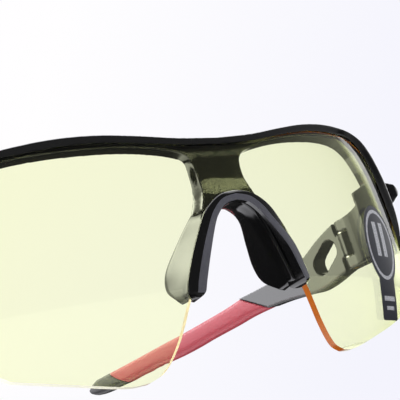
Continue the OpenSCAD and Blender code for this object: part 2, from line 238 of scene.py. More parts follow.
def nearest(line):
    """How far each place of the lip is from a line, up to 9 mm, and its foot on the line."""
    far, foot = np.full(len(aside), 9.0), aside.copy()
    for p, q in zip(line, line[1:]):
        share = np.clip((aside[near] - p) @ (q - p) / ((q - p) @ (q - p)), 0, 1)
        spot = p + share[:, None] * (q - p)
        gap = np.linalg.norm(aside[near] - spot, axis=1)
        closer = np.flatnonzero(near)[gap < far[near]]
        foot[closer], far[closer] = spot[gap < far[near]], gap[gap < far[near]]
    return far, foot


from_edge, foot = nearest(LIP_HALF)
from_top = nearest(TOP_HALF)[0]
edge_share = LIP_EDGE_SHARE + (1 - LIP_EDGE_SHARE) * ease(from_edge / LIP_TAPER)
top_share = 0.5 + 0.5 * np.sqrt(1 - (1 - np.clip(from_top / LIP_TOP_ROUND, 0, 1)) ** 2)
tapered = depth * edge_share * top_share
new_depth = np.where(near, tapered, depth)
new_depth = np.where(lip_side, np.minimum(new_depth, -SLOT_PLAY), new_depth)
corner = ease((foot[:, 0] - CORNER_FROM) / CORNER_RUN)
shift = ((LIP_NARROWER + CORNER_NARROWER * corner) * ease((foot[:, 1] - NARROW_ABOVE) / NARROW_FADE)
         * (1 - ease(from_edge / NARROW_REACH)) * near)
lean_out = corner * CORNER_LEAN
skin[:, 0] += np.sign(across) * shift * lean_out
skin[:, 2] += shift * (1 - lean_out / 3)
settled = behind + recess + np.clip(depth - behind, 0, None) * (room - recess) / room
new_depth = np.where(back_side & (depth < FRAME_DEPTH), settled, new_depth)
draft = 1 + (POST_DRAFT * ease((depth - behind) / room) * (1 - ease((high - DRAFT_TOP) / DRAFT_FADE))
             * ease((DRAFT_HALF_WIDTH - np.abs(across)) / SIDE_FADE))
way = skin - ball_centre
way *= ((LENS_RADIUS - new_depth) / np.linalg.norm(way, axis=1))[:, None]
way[:, 0] *= np.where(back_side, draft, 1)
brow.data.vertices.foreach_set("co", stand(way + ball_centre).astype(np.float32).ravel())
brow.data.update()
keep(brow, "front", "frame_nylon", [nylon], "brow_frame")

# Shield lens: a 2 mm spherical shield of pale yellow polycarbonate, moulded and then cut to its
# outline. The dye shows little through the thickness. The cut edge is painted glowing, orange at the
# notch and along the top, in place of the light that runs along inside the sheet and comes out there.
LENS_MESH = 1.5
SHEET_CREASE = math.radians(40)


def on_ball(xz, depth):
    """Points of the front at a depth behind the lens's outer surface."""
    xz = np.array(xz, float)
    y = LENS_RADIUS - np.sqrt((LENS_RADIUS - depth) ** 2 - (xz ** 2).sum(1))
    return np.stack([xz[:, 0], y, xz[:, 1]], 1)


def mesh_piece(name, points, faces):
    """A new object from points in metres and faces."""
    mesh = bpy.data.meshes.new(name)
    mesh.from_pydata([tuple(p) for p in points], [], [tuple(int(i) for i in f) for f in faces])
    mesh.update()
    piece = bpy.data.objects.new(name, mesh)
    bpy.context.scene.collection.objects.link(piece)
    return piece


def ball_sheet(name, outline, spacing, front, back):
    """A sheet on the lens's sphere between two depths, its flat places, and which faces are its walls."""
    count = len(outline)
    low, top = outline.min(0), outline.max(0)
    grid = np.array([(x, z) for x in np.arange(low[0] + spacing / 2, top[0], spacing)
                     for z in np.arange(low[1] + spacing / 2, top[1], spacing)])
    # The inner places keep clear of the outline by about half their spacing
    away = np.sqrt(((grid[:, None, :] - outline[None]) ** 2).sum(2)).min(1)
    grid = grid[(away > 0.55 * spacing) & inside(outline, grid)]
    flat = np.concatenate([outline, grid])
    ring = [(i, (i + 1) % count) for i in range(count)]
    cut = delaunay_2d_cdt([Vector(p) for p in flat], ring, [list(range(count))], 1, 1e-6)
    flat = np.array([tuple(v) for v in cut[0]])
    sheet = np.array([f for f in cut[2] if len(f) == 3])
    a, b, c = (flat[sheet[:, i]] for i in range(3))
    turned = (b - a)[:, 0] * (c - a)[:, 1] - (b - a)[:, 1] * (c - a)[:, 0] < 0
    sheet[turned] = sheet[turned][:, ::-1]
    used = np.unique(sheet)
    renumber = -np.ones(len(flat), int)
    renumber[used] = np.arange(len(used))
    flat, sheet = flat[used], renumber[sheet]
    sides = {(f[i], f[(i + 1) % 3]) for f in sheet for i in range(3)}
    border = sorted((a, b) for a, b in sides if (b, a) not in sides)
    n = len(flat)
    walls = [(b, a, a + n, b + n) for a, b in border]
    points = np.concatenate([stand(on_ball(flat, front)), stand(on_ball(flat, back))])
    skins = [tuple(f) for f in sheet] + [tuple(f[::-1] + n) for f in sheet]
    piece = mesh_piece(name, points, skins + walls)
    piece.data.polygons.foreach_set("use_smooth", [True] * len(piece.data.polygons))
    piece.data.set_sharp_from_angle(angle=SHEET_CREASE)
    return piece, flat, [0] * (2 * len(sheet)) + [1] * len(walls)


lens, flat, is_wall = ball_sheet("lens", lens_line, LENS_MESH, 0, LENS_THICKNESS)
# How much painted glow each place on the cut edge gets: under the lip on the right and along the
# notch, but not along the bottom
SLOT_FOOT, SLOT_FADE = -6, 6
GLOW_FROM, GLOW_FADE = 12, 8
NOTCH_OUTSIDE, NOTCH_FADE, NOTCH_TOP, NOTCH_TOP_FADE, LEFT_SHARE = 26, 2, 10, 4, 0.5
DARK_MIDDLE, DARK_HALF_WIDTH, DARK_FADE = 30, 18, 6
x, z = flat[:, 0], flat[:, 1]
under_lip = np.clip((z - SLOT_FOOT) / SLOT_FADE, 0, 1)
top = under_lip * np.clip((x - GLOW_FROM) / GLOW_FADE, 0, 1)
notch = (np.clip((NOTCH_OUTSIDE - np.abs(x)) / NOTCH_FADE, 0, 1)
         * np.clip((NOTCH_TOP - z) / NOTCH_TOP_FADE, 0, 1) * np.where(x < 0, LEFT_SHARE, 1))
share = np.clip(top + notch, 0, 1)
# Painted shade: past the corner and on the left, the edge is painted dark where it sits in the frame's
# black slot
painted_slot_shade_share = under_lip * np.clip((np.abs(x - DARK_MIDDLE) - DARK_HALF_WIDTH) / DARK_FADE, 0, 1)
glow = lens.data.attributes.new("painted_edge_glow", "FLOAT", "POINT")
glow.data.foreach_set("value", np.concatenate([share, share]).astype(np.float32))
shade = lens.data.attributes.new("slot_shade", "FLOAT", "POINT")
shade.data.foreach_set("value", np.concatenate([painted_slot_shade_share, painted_slot_shade_share]).astype(np.float32))

clear, tree, out = material("pale_yellow_polycarbonate")
place = add(tree, "ShaderNodeTexCoord").outputs["Object"]
# The polished mould leaves it clear. Faint smears of wiping, 12 mm long, only change the gloss
smear = add(tree, "ShaderNodeTexNoise", {"Scale": 80.0, "Detail": 4.0, "Distortion": 1.5}, Vector=place)
gloss = add(tree, "ShaderNodeMapRange",
            {"From Min": 0.45, "From Max": 0.8, "To Min": 0.0, "To Max": 0.03},
            Value=smear.outputs["Fac"])
sheet_glass = add(tree, "ShaderNodeBsdfPrincipled",
                  {"Base Color": linear("#ffffff"), "IOR": 1.42, "Transmission Weight": 1.0},
                  Roughness=gloss.outputs["Result"])
lamp_light = add(tree, "ShaderNodeBsdfTransparent", {"Color": linear("#fbfdf3")})
path = add(tree, "ShaderNodeLightPath")
both = add(tree, "ShaderNodeMixShader", None, _0=path.outputs["Is Shadow Ray"],
           _1=sheet_glass.outputs["BSDF"], _2=lamp_light.outputs["BSDF"])
dye = add(tree, "ShaderNodeVolumeAbsorption", {"Color": (0.92, 1.0, 0.02, 1), "Density": 165.0})
tree.links.new(both.outputs["Shader"], out.inputs["Surface"])
tree.links.new(dye.outputs["Volume"], out.inputs["Volume"])

edge, tree, out = material("polycarbonate_cut_edge_painted_glow")
# The milled edge is dull, in marks of 1 mm. Its colour is painted light: an emission glow, orange
# under the lip and along the notch and cream elsewhere, with painted shade in the frame's slot
lit = add(tree, "ShaderNodeAttribute", {"attribute_name": "painted_edge_glow"})
tint = add(tree, "ShaderNodeMix", {"data_type": "RGBA", "A": linear("#f6f3e6"), "B": linear("#b45c06")},
           Factor=lit.outputs["Fac"])
# Painted shade: the edge colour darkens to brown-black where the slot shades it
shaded = add(tree, "ShaderNodeAttribute", {"attribute_name": "slot_shade"})
tint = add(tree, "ShaderNodeMix", {"data_type": "RGBA", "B": linear("#1c0f06")}, A=tint.outputs["Result"],
           Factor=shaded.outputs["Fac"])
milled = add(tree, "ShaderNodeTexNoise", {"Scale": 900.0, "Detail": 2.0},
             Vector=add(tree, "ShaderNodeTexCoord").outputs["Object"])
dull = add(tree, "ShaderNodeMapRange", {"To Min": 0.2, "To Max": 0.45}, Value=milled.outputs["Fac"])
body = add(tree, "ShaderNodeBsdfPrincipled",
           {"IOR": 1.5, "Emission Strength": 0.35, "Specular IOR Level": 0.2},
           Base_Color=tint.outputs["Result"], Roughness=dull.outputs["Result"],
           Emission_Color=tint.outputs["Result"])
tree.links.new(body.outputs["BSDF"], out.inputs["Surface"])
keep(lens, "front", "lens_polycarbonate", [clear, edge], "shield_lens")
lens.data.polygons.foreach_set("material_index", is_wall)

# Nose rim: a hard clip of black nylon that is pushed over the edge of the notch. Its front is a
# narrow satin facet that slopes outward, and a groove in its outer side takes the lens.
LOFT_CREASE = math.radians(50)
RIM_BACK, RIM_WALL, RIM_END_ROUND = 3.6, 1.6, 1.7
GROOVE_PLAY, GROOVE_LAP, FACET_PROUD = 0.03, 0.05, 0.3
# The rounding of the section's corners, from the facet round by the groove to the back
RIM_ROUNDS = (0.35, 0.3, 0.3, 0.05, 0.05, 0.05, 0.05, 0.3, 0.3)
ROUND_STEPS, AROUND, END_RINGS = 5, 9 * 5, 5


def loft(name, rings):
    """A closed skin over a row of rings of points, with both ends capped."""
    rings = np.array(rings)
    rows, around = rings.shape[:2]
    faces = [(r * around + k, r * around + (k + 1) % around, (r + 1) * around + (k + 1) % around,
              (r + 1) * around + k) for r in range(rows - 1) for k in range(around)]
    faces += [tuple(range(around)), tuple(range((rows - 1) * around, rows * around))]
    piece = mesh_piece(name, rings.reshape(-1, 3), faces)
    skin = bmesh.new()
    skin.from_mesh(piece.data)
    bmesh.ops.recalc_face_normals(skin, faces=skin.faces)
    skin.to_mesh(piece.data)
    skin.free()
    piece.data.polygons.foreach_set("use_smooth", [True] * len(piece.data.polygons))
    piece.data.set_sharp_from_angle(angle=LOFT_CREASE)
    return piece


def eased(corners, radii):
    """A closed line with its corners rounded, each over less than half of its sides."""
    line = []
    for i, b in enumerate(corners):
        to_a, to_c = corners[i - 1] - b, corners[(i + 1) % len(corners)] - b
        p = b + to_a * min(radii[i] / np.linalg.norm(to_a), 0.45)
        q = b + to_c * min(radii[i] / np.linalg.norm(to_c), 0.45)
        line += [p + (b - p) * 2 * t * (1 - t) + (q - p) * t * t for t in np.linspace(0, 1, ROUND_STEPS)]
    return line


def ball_y(p, depth):
    """The y of a place x, z at a depth behind the lens's outer surface."""
    return LENS_RADIUS - math.sqrt((LENS_RADIUS - depth) ** 2 - p[0] ** 2 - p[1] ** 2)


# Down one limb from the middle of the arch: the inner line's x and z, and measured outward from it
# in mm the facet's inner edge and its y, its outer edge and its y, and the shoulder and its y
RIM_STATIONS = [(0, 2.1, -0.1, -1.0, 1.2, -1.05, 2.1, -0.8),
                (2.8, 1.4, -0.1, -0.95, 1.25, -1.0, 2.35, -0.75),
                (4.9, -0.6, 0, -0.9, 1.4, -0.9, 2.85, -0.6),
                (6.4, -3.2, 0.15, -0.9, 1.6, -0.8, 3.25, -0.2),
                (9, -9.4, 0.6, -1.5, 2.3, -1.1, 3.7, 0.75),
                (11, -14.6, 0.5, -0.95, 2.2, -0.2, 3.7, 1.65),
                (11.7, -16.8, 0.5, -0.7, 2.1, 0.1, 3.5, 2.1)]
limb = spline(RIM_STATIONS, 7)
course = np.concatenate([[limb[1] * (-1, 1, 1, 1, 1, 1, 1, 1)], limb])
tangent = np.gradient(course[:, :2], axis=0)[1:]
tangent /= np.linalg.norm(tangent, axis=1)[:, None]
stops = [(s, t, 0.0, 1.0) for s, t in zip(limb, tangent)]
stops += [(limb[-1], tangent[-1], RIM_END_ROUND * math.sin(a), math.cos(a))
          for a in (0.2, 0.4, 0.6, 0.8, 1, 1.2, 1.4)]
notch_full = np.concatenate([NOTCH_HALF, NOTCH_HALF[-2::-1] * (-1, 1)])
rings = []
for s, t, shift, scale in stops:
    i, n = s[:2], np.array([-t[1], t[0]])
    # Where the edge of the notch crosses this section
    rel = notch_full - i
    side = rel @ t
    cross = [k for k in range(len(side) - 1) if side[k] * side[k + 1] <= 0]
    ahead = [(rel[k] + (rel[k + 1] - rel[k]) * side[k] / (side[k] - side[k + 1] + 1e-9)) @ n
             for k in cross]
    edge_at = min([v for v in ahead if v > 0], default=0.6) - GROOVE_LAP
    spots = []
    for off, y, depth in ((s[2], s[3], None), (s[4], s[5], None), (s[6], s[7], None),
                          (s[6], None, -GROOVE_PLAY), (edge_at, None, -GROOVE_PLAY),
                          (edge_at, None, LENS_THICKNESS + GROOVE_PLAY),
                          (RIM_WALL, None, LENS_THICKNESS + GROOVE_PLAY),
                          (RIM_WALL, None, RIM_BACK), (0, None, RIM_BACK)):
        p = i + n * off
        y = ball_y(p, depth) if y is None else min(y, ball_y(p, 0) - FACET_PROUD)
        spots.append(np.array([p[0], y, p[1]]))
    ring = np.array(eased(spots, RIM_ROUNDS))
    middle = ring.mean(0)
    rings.append(middle + (ring - middle) * scale + shift * np.array([t[0], 0, t[1]]))
rings = [r * (-1, 1, 1) for r in rings[:0:-1]] + rings
rim = loft("nose_rim_clip", [stand(r) for r in rings])
# Only the facet is grained. The flank, the back and the two rounded ends are polished
facet = [0 if k % AROUND < ROUND_STEPS + 2 and END_RINGS <= k // AROUND < len(rings) - 1 - END_RINGS
         else 1 for k in range((len(rings) - 1) * AROUND)] + [1, 1]
satin, tree, out = material("satin_black_nylon_painted_sheen")
place = add(tree, "ShaderNodeTexCoord").outputs["Object"]
# The spark-eroded mould leaves an even grain, 0.25 mm, that spreads each reflection
grain = add(tree, "ShaderNodeTexNoise", {"Scale": 4000.0, "Detail": 2.0}, Vector=place)
shine = add(tree, "ShaderNodeMapRange",
            {"From Min": 0.3, "From Max": 0.7, "To Min": 0.26, "To Max": 0.36},
            Value=grain.outputs["Fac"])
# Painted sheen: the facet's grey base colour, on what is black nylon, stands in for the front light
# mirrored in it
black = add(tree, "ShaderNodeMix", {"data_type": "RGBA", "A": linear("#57575f"), "B": linear("#616169")},
            Factor=grain.outputs["Fac"])
body = add(tree, "ShaderNodeBsdfPrincipled", {"IOR": 1.53}, Base_Color=black.outputs["Result"],
           Roughness=shine.outputs["Result"])
tree.links.new(body.outputs["BSDF"], out.inputs["Surface"])
keep(rim, "front", "frame_nylon", [satin, nylon], "nose_rim")
rim.data.polygons.foreach_set("material_index", facet)

# Nose saddle: soft black rubber, one smooth sheet 2 mm thick that lines the rim from behind. It
# arches over the bridge of the nose and flares into two wings with rounded lips.
SADDLE_THICKNESS = 2.0
WING_DEPTH = 12.0
FRONT_REACH, FRONT_LEAST, RIM_OVERLAP, RIM_GAP = 3.4, 0.3, 0.6, 0.2
ACROSS_STEPS, ALONG_STEPS, END_LENGTH = 10, 60, 1.8
# Along the rim: x and z of the sheet's line, and at its back lip x, the share of the wings' depth
# and how far the lip stands above the line
on_rim = [(0, 3), (3, 2.3), (5.3, 0.1), (7.3, -3.9), (9.6, -8.9), (11.5, -13.2), (12.5, -15.8)]
lip = [(0, 0.46, 2.2), (4, 0.44, 1.4), (6.9, 0.5, 0.4), (9.4, 0.79, -0.4), (11.4, 0.97, 0.3),
       (12.4, 0.84, 0.6), (12.9, 0.4, 0.0)]
near_rim = spline([(0, 2.1), (2.8, 1.4), (4.9, -0.6), (6.4, -3.2), (8.2, -7.6), (10, -12.2),
                   (11.2, -15.2)], 1)
stations = []
for f, r, i in zip(on_rim, lip, near_rim):
    y = ball_y(f, RIM_BACK)
    n = (np.array(f) - i) / np.linalg.norm(np.array(f) - i)
    start = i + RIM_GAP * n
    stations.append([start[0], max(y - FRONT_REACH, FRONT_LEAST), start[1], f[0], y + RIM_OVERLAP, f[1],
                     r[0], y + 1 + WING_DEPTH * r[1], f[1] + r[2]])
stations = np.array(stations)
# Past the last station each wing runs on by a third of a step, and ends in a rounded edge
tail = stations[-1] + (stations[-1] - stations[-2]) / 2.8
flip = np.array([-1, 1, 1] * 3)
stations = np.concatenate([[tail * flip], stations[:0:-1] * flip, stations, [tail]])
line = spline(stations, 12)
length = np.concatenate([[0], np.cumsum(np.linalg.norm(np.diff(line[:, 3:6], axis=0), axis=1))])
end_steps = np.array([0, 0.06, 0.2, 0.45, 0.8, 1.2])
where = np.concatenate([end_steps, np.linspace(END_LENGTH, length[-1] - END_LENGTH, ALONG_STEPS),
                        length[-1] - end_steps[::-1]])
line = np.stack([np.interp(where, length, line[:, k]) for k in range(9)], 1)
from_end = np.minimum(where, length[-1] - where)
end_round = np.sqrt(np.clip(1 - (1 - np.clip(from_end, 0, 1)) ** 2, 0.0025, 1))
middle, thick = [], []
for s, round_off in zip(line, end_round):
    # From the front edge a over the rim b to the back lip c, growing thicker on the way
    a, b, c = s[:3], s[3:6], s[6:]
    row = [a + (b - a) * t for t in (0, 0.08, 0.3, 0.6)]
    wide = [0.25, 0.9, 1.0, 1.4]
    reach = np.linalg.norm(c - b)
    round_lip = 1 - np.array([0.65, 0.35, 0.12, 0.0]) / reach
    for t in np.concatenate([np.linspace(0, 1 - 1 / reach, ACROSS_STEPS), round_lip]):
        p = b + (c - b) * t
        p[2] = b[2] + (c[2] - b[2]) * t * t
        row.append(p)
        back = (1 - t) * reach
        wide.append(SADDLE_THICKNESS * math.sqrt(max(1 - max(1 - back, 0) ** 2, 0.01)))
    middle.append(row)
    thick.append(np.array(wide) * round_off)
middle, thick = np.array(middle), np.array(thick)
along = np.gradient(middle, axis=0)
down = np.gradient(middle, axis=1)
out_way = np.cross(along, down)
out_way /= np.linalg.norm(out_way, axis=2)[:, :, None]
rings = [np.concatenate([m + o * t[:, None] / 2, (m - o * t[:, None] / 2)[::-1]])
         for m, o, t in zip(middle, out_way, thick)]
saddle = loft("saddle", [stand(r) for r in rings])
rubber, tree, out = material("smooth_black_rubber")
place = add(tree, "ShaderNodeTexCoord").outputs["Object"]
# The bloom on the rubber, in patches of 3 mm, dulls its skin here and there
bloom = add(tree, "ShaderNodeTexNoise", {"Scale": 330.0, "Detail": 4.0}, Vector=place)
skin = add(tree, "ShaderNodeMapRange",
           {"From Min": 0.3, "From Max": 0.7, "To Min": 0.1, "To Max": 0.16},
           Value=bloom.outputs["Fac"])
dark = add(tree, "ShaderNodeMix", {"data_type": "RGBA", "A": linear("#070708"), "B": linear("#0b0b0d")},
           Factor=bloom.outputs["Fac"])
body = add(tree, "ShaderNodeBsdfPrincipled", {"IOR": 1.5, "Specular IOR Level": 0.3},
           Base_Color=dark.outputs["Result"], Roughness=skin.outputs["Result"])
tree.links.new(body.outputs["BSDF"], out.inputs["Surface"])
keep(saddle, "front", "saddle_rubber", [rubber], "nose_saddle")

# Lens label: thin printed vinyl film that peels off the lens, an oval with a square tab. It carries
# only a plain light border and a few plain bars.
OVAL_MIDDLE, OVAL_HALF = np.array([44.7, -8.4]), np.array([7.0, 9.7])
# The film's two faces as depths behind the lens's outer surface, so both lie just before it
FILM_FRONT, FILM_BACK, FILM_MESH = -0.12, -0.02, 1.2
oval = [OVAL_MIDDLE + OVAL_HALF * (math.cos(a), math.sin(a)) for a in np.radians(range(-57, 238, 6))]
tab = [(40.9, -22), (40.9, -26), (41.3, -26.4), (44.7, -26.4), (48.1, -26.4), (48.5, -26), (48.5, -22)]
label, flat, is_wall = ball_sheet("label", np.array(oval + tab), FILM_MESH, FILM_FRONT, FILM_BACK)
spot = label.data.attributes.new("film_place", "FLOAT_VECTOR", "POINT")
film_at = np.column_stack([flat - OVAL_MIDDLE, 0 * flat[:, 0]])
spot.data.foreach_set("vector", np.concatenate([film_at, film_at]).astype(np.float32).ravel())
film, tree, out = material("printed_vinyl_film")
# Even, slightly glossy film with a dull light print: a ring inside the oval's edge, and the bars
at = add(tree, "ShaderNodeAttribute", {"attribute_name": "film_place"}).outputs["Vector"]
shrunk = add(tree, "ShaderNodeVectorMath", {"operation": "DIVIDE"}, _0=at)
shrunk.inputs[1].default_value = (*OVAL_HALF, 1)
ring_at = add(tree, "ShaderNodeVectorMath", {"operation": "LENGTH"}, _0=shrunk.outputs["Vector"])
ring = add(tree, "ShaderNodeMath", {"operation": "COMPARE"}, _0=ring_at.outputs["Value"])
RING_AT, RING_HALF_WIDTH = 0.84, 0.045
ring.inputs[1].default_value, ring.inputs[2].default_value = RING_AT, RING_HALF_WIDTH
parts = add(tree, "ShaderNodeSeparateXYZ", None, Vector=at)
marks = ring.outputs["Value"]
# Plain printed bars: middle across, middle up, half width and half height of each in mm
BARS = ((-1.6, 1.2, 0.9, 4.2), (1.6, 1.2, 0.9, 4.2), (0.2, -13.0, 2.7, 0.55), (0.2, -15.2, 1.9, 0.45))
for x_mid, z_mid, half_w, half_h in BARS:
    wide = add(tree, "ShaderNodeMath", {"operation": "COMPARE"}, _0=parts.outputs["X"])
    wide.inputs[1].default_value, wide.inputs[2].default_value = x_mid, half_w
    tall = add(tree, "ShaderNodeMath", {"operation": "COMPARE"}, _0=parts.outputs["Y"])
    tall.inputs[1].default_value, tall.inputs[2].default_value = z_mid, half_h
    bar = add(tree, "ShaderNodeMath", {"operation": "MULTIPLY"}, _0=wide.outputs["Value"],
              _1=tall.outputs["Value"])
    marks = add(tree, "ShaderNodeMath", {"operation": "MAXIMUM"}, _0=marks,
                _1=bar.outputs["Value"]).outputs["Value"]
# The print is a little worn, in specks of 0.4 mm
specks = add(tree, "ShaderNodeTexNoise", {"Scale": 2.5, "Detail": 2.0}, Vector=at)
worn = add(tree, "ShaderNodeMapRange",
           {"From Min": 0.35, "From Max": 0.6, "To Min": 0.55, "To Max": 1.0},
           Value=specks.outputs["Fac"])
ink_share = add(tree, "ShaderNodeMath", {"operation": "MULTIPLY"}, _0=marks, _1=worn.outputs["Result"])
ground = add(tree, "ShaderNodeMix", {"data_type": "RGBA", "A": linear("#22252f"), "B": linear("#2e313c")},
             Factor=specks.outputs["Fac"])
ink = add(tree, "ShaderNodeMix", {"data_type": "RGBA", "B": linear("#c3c4ca")},
          Factor=ink_share.outputs["Value"], A=ground.outputs["Result"])
body = add(tree, "ShaderNodeBsdfPrincipled", {"Roughness": 0.35, "IOR": 1.5},
           Base_Color=ink.outputs["Result"])
tree.links.new(body.outputs["BSDF"], out.inputs["Surface"])
keep(label, "front", "label_film", [film], "lens_label")

# Temples: each arm is the frame's nylon, forked round a window near the hinge. A red rubber sleeve
# and a black rubber tip are pushed over its tongue, and meet it at slanting joints.
HINGE = (62.5, 48.5, 1.6)
HINGE_LEAN, TOE_IN = math.radians(4), math.radians(8)
BOW_RADIUS = 620.0
ARM_OUTSIDE = 1.0
GRIP_THICKNESS, GRIP_SQUARENESS, GRIP_AROUND = 5.2, 3.0, 40
STRETCH_FROM, TEMPLE_STRETCH = 30, 1.02


def temple_place(side, w, z, t):
    """A point of a temple, from its outline's w and z, on the face that lies t outside its middle."""
    w = np.where(w < STRETCH_FROM, w, STRETCH_FROM + (w - STRETCH_FROM) * TEMPLE_STRETCH)
    u = ARM_OUTSIDE - BOW_RADIUS + np.sqrt((BOW_RADIUS + t) ** 2 - w * w)
    x = u * math.cos(TOE_IN) - w * math.sin(TOE_IN)
    y = u * math.sin(TOE_IN) + w * math.cos(TOE_IN)
    flip = -1 if side == "left" else 1
    return stand(np.stack([flip * (HINGE[0] + x * math.cos(HINGE_LEAN) - z * math.sin(HINGE_LEAN)),
                           HINGE[1] + y,
                           HINGE[2] + x * math.sin(HINGE_LEAN) + z * math.cos(HINGE_LEAN)], 1))


def even(points, shares):
    """Places at shares of the length of a line."""
    line = spline(points, 12)
    run = np.concatenate([[0], np.cumsum(np.linalg.norm(np.diff(line, axis=0), axis=1))])
    return np.stack([np.interp(shares * run[-1], run, line[:, k]) for k in (0, 1)], 1)


def grip(name, side, top, low, shares, fullness):
    """A rounded grip round the temple between its top and its low line, fuller or thinner on the way."""
    angle = np.linspace(0, 2 * math.pi, GRIP_AROUND, endpoint=False)
    up = np.sign(np.cos(angle)) * np.abs(np.cos(angle)) ** (2 / GRIP_SQUARENESS)
    out = np.sign(np.sin(angle)) * np.abs(np.sin(angle)) ** (2 / GRIP_SQUARENESS)
    rings = []
    for t, l, full in zip(even(top, shares), even(low, shares), fullness):
        spot = (t + l) / 2 + np.outer(up, (t - l) / 2 * full)
        rings.append(temple_place(side, spot[:, 0], spot[:, 1], out * GRIP_THICKNESS / 2 * full))
    return loft(name, rings)


red, tree, out = material("satin_red_rubber")
place = add(tree, "ShaderNodeTexCoord").outputs["Object"]
# A fine moulded grain of 1.5 mm patches and 0.3 mm tooth softens the shine
grain = add(tree, "ShaderNodeTexNoise", {"Scale": 650.0, "Detail": 4.0}, Vector=place)
shade = add(tree, "ShaderNodeMix", {"data_type": "RGBA", "A": linear("#bb3e4b"), "B": linear("#c74856")},
            Factor=grain.outputs["Fac"])
skin = add(tree, "ShaderNodeMapRange", {"To Min": 0.35, "To Max": 0.5}, Value=grain.outputs["Fac"])
tooth = add(tree, "ShaderNodeBump", {"Strength": 0.3, "Distance": 0.00002}, Height=grain.outputs["Fac"])
body = add(tree, "ShaderNodeBsdfPrincipled", {"IOR": 1.5}, Base_Color=shade.outputs["Result"],
           Roughness=skin.outputs["Result"], Normal=tooth.outputs["Normal"])
tree.links.new(body.outputs["BSDF"], out.inputs["Surface"])

matt, tree, out = material("matt_black_rubber")
place = add(tree, "ShaderNodeTexCoord").outputs["Object"]
# The same grain on black, where it shows as a soft grey bloom
grain = add(tree, "ShaderNodeTexNoise", {"Scale": 700.0, "Detail": 4.0}, Vector=place)
shade = add(tree, "ShaderNodeMix", {"data_type": "RGBA", "A": linear("#121214"), "B": linear("#1a1a1d")},
            Factor=grain.outputs["Fac"])
skin = add(tree, "ShaderNodeMapRange", {"To Min": 0.35, "To Max": 0.5}, Value=grain.outputs["Fac"])
body = add(tree, "ShaderNodeBsdfPrincipled", {"IOR": 1.5}, Base_Color=shade.outputs["Result"],
           Roughness=skin.outputs["Result"])
tree.links.new(body.outputs["BSDF"], out.inputs["Surface"])

# The outlines' w runs back from the hinge, z up. A grip's ends are drawn in by a tenth to round them
sleeve_top = [(50, -0.4), (58, -1.3), (68, -2), (77, -2.6), (91, -3.4), (103, -4.2), (119.2, -5.2)]
sleeve_low = [(38.5, -7), (48, -7.1), (56, -7.7), (68, -8.4), (76, -9.1), (85, -9.6), (96, -9.8),
              (111.2, -11.1)]
tip_top = [(119.2, -5.2), (124.6, -5.6), (128.4, -6.6), (129.7, -7.6), (130, -8.4)]
tip_low = [(111.2, -11.1), (125, -11.2), (128.8, -10.4), (129.8, -9.3), (130, -8.4)]
sleeve_at = np.concatenate([[0, 0.003, 0.008], np.linspace(0.03, 0.97, 40), [0.992, 0.997, 1]])
sleeve_full = np.concatenate([[0.92, 0.985, 1], np.ones(40), [1, 0.985, 0.92]])
tip_at = np.concatenate([[0, 0.01, 0.03], np.linspace(0.1, 0.8, 12), [0.86, 0.91, 0.95, 0.98, 0.995]])
tip_full = np.concatenate([[0.92, 0.985, 1], np.ones(12), [0.99, 0.97, 0.94, 0.88, 0.8]])
ARM_GRAIN, ARM_ROUNDS = 0.22, 16
for side in ("left", "right"):
    arm = moulded(side + "_arm", side + "_temple_arm", ARM_GRAIN, ARM_ROUNDS)
    keep(arm, side + "_temple", "frame_nylon", [nylon], side + "_temple_arm")
    sleeve = grip(side + "_sleeve", side, sleeve_top, sleeve_low, sleeve_at, sleeve_full)
    keep(sleeve, side + "_temple", "sleeve_rubber", [red], side + "_temple_sleeve")
    tip = grip(side + "_tip", side, tip_top, tip_low, tip_at, tip_full)
    keep(tip, side + "_temple", "tip_rubber", [matt], side + "_temple_tip")

# Hinges: a slotted steel screw through the knuckles into a brass nut, with two thin steel washers
# that are pinched between the knuckles and hold the temple where it is left.
steel, tree, out = material("bright_stainless_steel")
# Turning leaves marks finer than 0.3 mm, which spread the mirror image a little
turned = add(tree, "ShaderNodeTexNoise", {"Scale": 4000.0, "Detail": 2.0},
             Vector=add(tree, "ShaderNodeTexCoord").outputs["Object"])
skin = add(tree, "ShaderNodeMapRange", {"To Min": 0.18, "To Max": 0.34}, Value=turned.outputs["Fac"])
body = add(tree, "ShaderNodeBsdfPrincipled", {"Base Color": linear("#c9c8c4"), "Metallic": 1.0},
           Roughness=skin.outputs["Result"])
tree.links.new(body.outputs["BSDF"], out.inputs["Surface"])
brass, tree, out = material("turned_brass")
# The same marks of turning, a little coarser to the eye on the softer metal
turned = add(tree, "ShaderNodeTexNoise", {"Scale": 4000.0, "Detail": 2.0},
             Vector=add(tree, "ShaderNodeTexCoord").outputs["Object"])
skin = add(tree, "ShaderNodeMapRange", {"To Min": 0.2, "To Max": 0.4}, Value=turned.outputs["Fac"])
body = add(tree, "ShaderNodeBsdfPrincipled", {"Base Color": linear("#c9a552"), "Metallic": 1.0},
           Roughness=skin.outputs["Result"])
tree.links.new(body.outputs["BSDF"], out.inputs["Surface"])
HINGE_CREASE = math.radians(35)
for side in ("left", "right"):
    for part, metal in (("_hinge_screw", steel), ("_hinge_nut", brass), ("_hinge_washers", steel)):
        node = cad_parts[side + part]
        node.data.materials.clear()
        node.data.materials.append(metal)
        node.data.shade_smooth()
        node.data.set_sharp_from_angle(angle=HINGE_CREASE)

